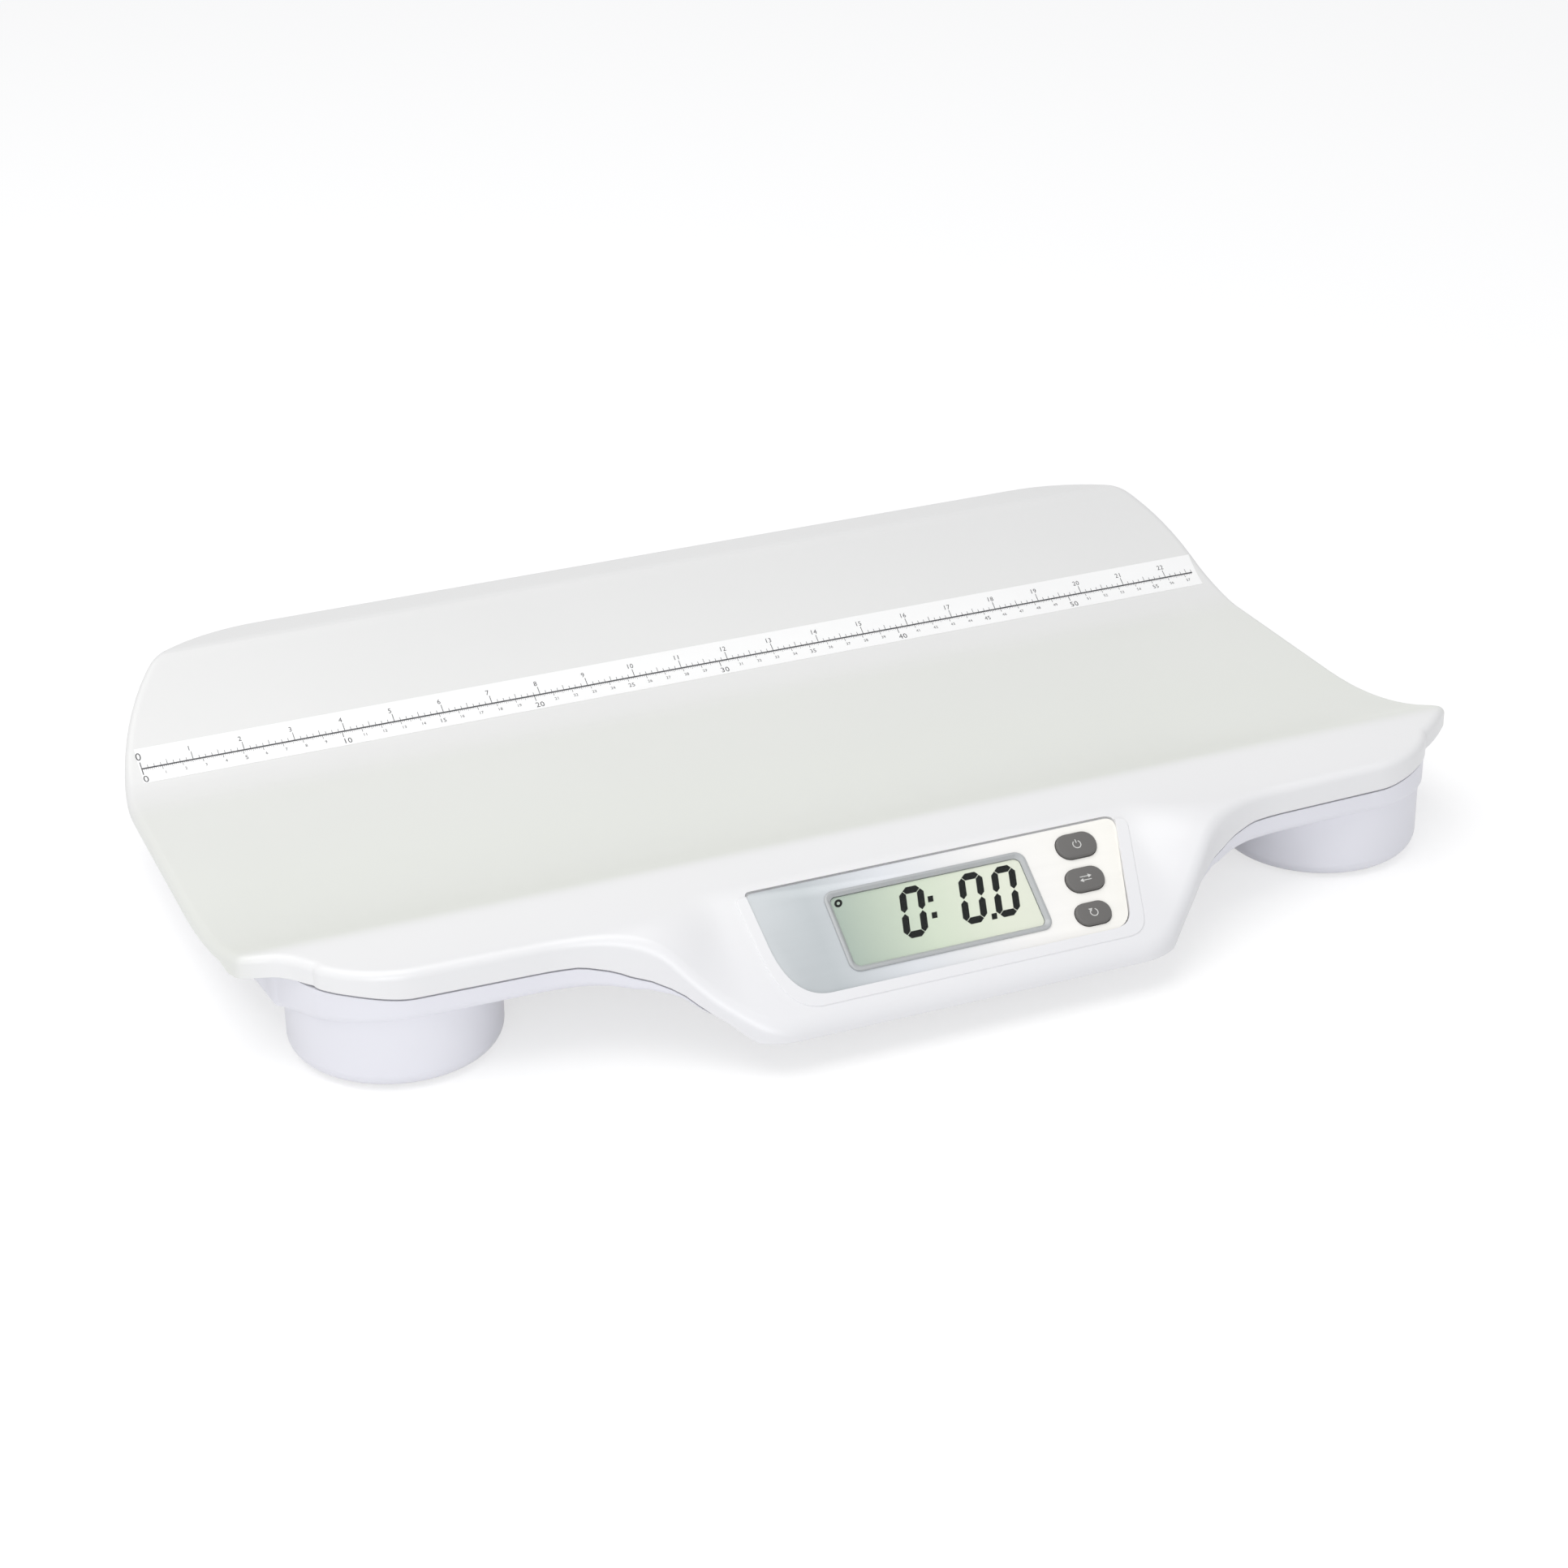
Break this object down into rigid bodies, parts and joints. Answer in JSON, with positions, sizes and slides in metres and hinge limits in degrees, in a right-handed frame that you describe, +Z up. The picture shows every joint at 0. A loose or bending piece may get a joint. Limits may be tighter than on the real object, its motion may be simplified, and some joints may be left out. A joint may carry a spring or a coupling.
{
  "type": "digital baby scale",
  "caption": "Digital baby weighing scale: long curved cradle tray with a ruler, sloping display apron with keys, and round feet over load cells.",
  "frame": {"origin": "on the table, under the middle of the scale's bounding box", "axes": "+X along the tray's length, the ruler's reading direction; +Y from the display to the back; +Z up"},
  "size_m": [0.605, 0.3906, 0.0815],
  "materials": {
    "backlight_white": "matt white",
    "base_plastic": "semi-gloss moulded, cool white",
    "bezel_silver": "silver painted, satin",
    "black_plastic": "matt black",
    "cell_jacket": "gloss printed jacket",
    "cell_steel": "brushed",
    "circuit_board": "green solder mask",
    "clear_lens": "clear polished",
    "clip_plastic": "matt white",
    "contact_steel": "nickel plated spring steel",
    "dark_rubber": "matt",
    "foot_rubber": "matt",
    "key_plastic": "gloss dark grey",
    "lcd": "reflective liquid crystal",
    "overlay_film": "metallic silver film",
    "ruler_film": "printed film",
    "screw_steel": "zinc plated",
    "tray_plastic": "gloss moulded, off-white",
    "wire_sleeve": "satin"
  },
  "bodies": {
    "casing": {"battery_cell_1": "cell_jacket", "battery_cell_2": "cell_jacket", "battery_cell_3": "cell_jacket", "battery_cell_4": "cell_jacket", "battery_contacts_back": "contact_steel", "battery_contacts_front": "contact_steel", "battery_leads": "wire_sleeve", "board_screw_1": "screw_steel", "board_screw_2": "screw_steel", "board_screw_3": "screw_steel", "board_screw_4": "screw_steel", "buzzer": "black_plastic", "casing_screw_1": "screw_steel", "casing_screw_2": "screw_steel", "casing_screw_3": "screw_steel", "casing_screw_4": "screw_steel", "casing_screw_5": "screw_steel", "casing_screw_6": "screw_steel", "cell_clip_back_left": "clip_plastic", "cell_clip_back_right": "clip_plastic", "cell_clip_front_left": "clip_plastic", "cell_clip_front_right": "clip_plastic", "display_bezel": "bezel_silver", "display_board": "circuit_board", "display_lens": "clear_lens", "foot_pad_back_left": "foot_rubber", "foot_pad_back_right": "foot_rubber", "foot_pad_front_left": "foot_rubber", "foot_pad_front_right": "foot_rubber", "lcd_glass": "lcd", "lcd_reflector": "backlight_white", "load_cell_back_left": "cell_steel", "load_cell_back_right": "cell_steel", "load_cell_front_left": "cell_steel", "load_cell_front_right": "cell_steel", "lower_casing": "base_plastic", "panel_overlay": "overlay_film", "ribbon_cable": "wire_sleeve", "ruler_strip": "ruler_film", "sensor_board": "circuit_board", "sensor_lead_back_left": "wire_sleeve", "sensor_lead_back_right": "wire_sleeve", "sensor_lead_front_left": "wire_sleeve", "sensor_lead_front_right": "wire_sleeve", "switch_recall": "black_plastic", "switch_tare": "black_plastic", "switch_unit": "black_plastic", "upper_casing": "tray_plastic", "zebra_strip_lower": "dark_rubber", "zebra_strip_upper": "dark_rubber"},
    "tare_key": {"button_tare": "key_plastic"},
    "unit_key": {"button_unit": "key_plastic"},
    "recall_key": {"button_recall": "key_plastic"},
    "battery_cover": {"battery_door": "base_plastic"}
  },
  "joints": [
    {"name": "tare_press", "type": "slide", "parent": "casing", "child": "tare_key", "axis": [0, 0.5592, -0.829], "range_m": [0, 0.0006], "stiffness_N_per_m": 800},
    {"name": "unit_press", "type": "slide", "parent": "casing", "child": "unit_key", "axis": [0, 0.5592, -0.829], "range_m": [0, 0.0006], "stiffness_N_per_m": 800},
    {"name": "recall_press", "type": "slide", "parent": "casing", "child": "recall_key", "axis": [0, 0.5592, -0.829], "range_m": [0, 0.0006], "stiffness_N_per_m": 800},
    {"name": "battery_cover_slide", "type": "slide", "parent": "casing", "child": "battery_cover", "axis": [0, 1, 0], "range_m": [0, 0.066]}
  ]
}
